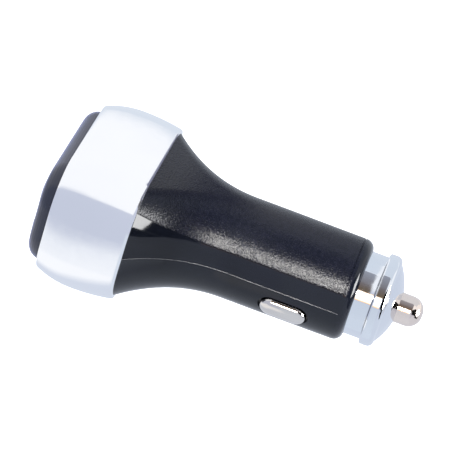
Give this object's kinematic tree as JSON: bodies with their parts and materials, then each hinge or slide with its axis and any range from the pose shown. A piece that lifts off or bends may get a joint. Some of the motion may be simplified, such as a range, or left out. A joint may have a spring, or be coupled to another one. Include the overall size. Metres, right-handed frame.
{
  "type": "car usb charger",
  "caption": "Car USB charger: a round plug for a vehicle power socket that flares to a wide head with a bright band and USB sockets, with sprung contacts.",
  "frame": {"origin": "on the plug's axis, at the middle of the barrel's plain stretch", "axes": "+X runs along the plug towards its centre pin, +Z is the grained upper side, and +Y is to the left of someone who looks at the USB face"},
  "size_m": [0.0767, 0.0412, 0.0276],
  "materials": {
    "housing": "gloss black, with a finely grained matte upper side",
    "band": "satin silver plating",
    "face": "gloss black",
    "clear": "clear moulded plastic",
    "lamp": "white body",
    "board": "green solder mask",
    "tin": "tinned sheet",
    "tongue": "white moulded",
    "brass": "plated",
    "package": "moulded black",
    "winding": "enamelled copper wire",
    "can": "sleeved can",
    "cap": "bright plating",
    "nickel": "nickel plated, slightly warm",
    "spring": "spring steel",
    "lead": "black insulation"
  },
  "bodies": {
    "charger": {"main_housing": "housing", "trim_band": "band", "face_panel": "face", "light_guide": "clear", "status_led": "lamp", "circuit_board": "board", "usb_shell_left": "tin", "usb_shell_right": "tin", "usb_tongue_left": "tongue", "usb_tongue_right": "tongue", "usb_contacts_left": "brass", "usb_contacts_right": "brass", "controller_chip": "package", "inductor_core": "package", "inductor_winding": "winding", "input_capacitor": "can", "output_capacitor": "can", "rectifier_diode": "package", "board_fuse": "lamp", "end_cap": "cap", "pin_spring": "spring", "spring_terminal": "brass", "contact_spring_left": "spring", "contact_spring_right": "spring", "ground_lead_left": "lead", "ground_lead_right": "lead"},
    "pin": {"centre_pin": "nickel"},
    "left_contact": {"side_contact_left": "nickel"},
    "right_contact": {"side_contact_right": "nickel"}
  },
  "joints": [
    {"name": "pin_press", "type": "slide", "parent": "charger", "child": "pin", "axis": [-1, 0, 0], "range_m": [0, 0.0025], "stiffness_N_per_m": 400, "springref_m": -0.003, "deforming": ["pin_spring"]},
    {"name": "left_contact_press", "type": "slide", "parent": "charger", "child": "left_contact", "axis": [0, -0.9135, 0.4067], "range_m": [0, 0.0013], "stiffness_N_per_m": 1200, "springref_m": -0.001, "deforming": ["contact_spring_left"]},
    {"name": "right_contact_press", "type": "slide", "parent": "charger", "child": "right_contact", "axis": [0, 0.9135, 0.4067], "range_m": [0, 0.0013], "stiffness_N_per_m": 1200, "springref_m": -0.001, "deforming": ["contact_spring_right"]}
  ]
}
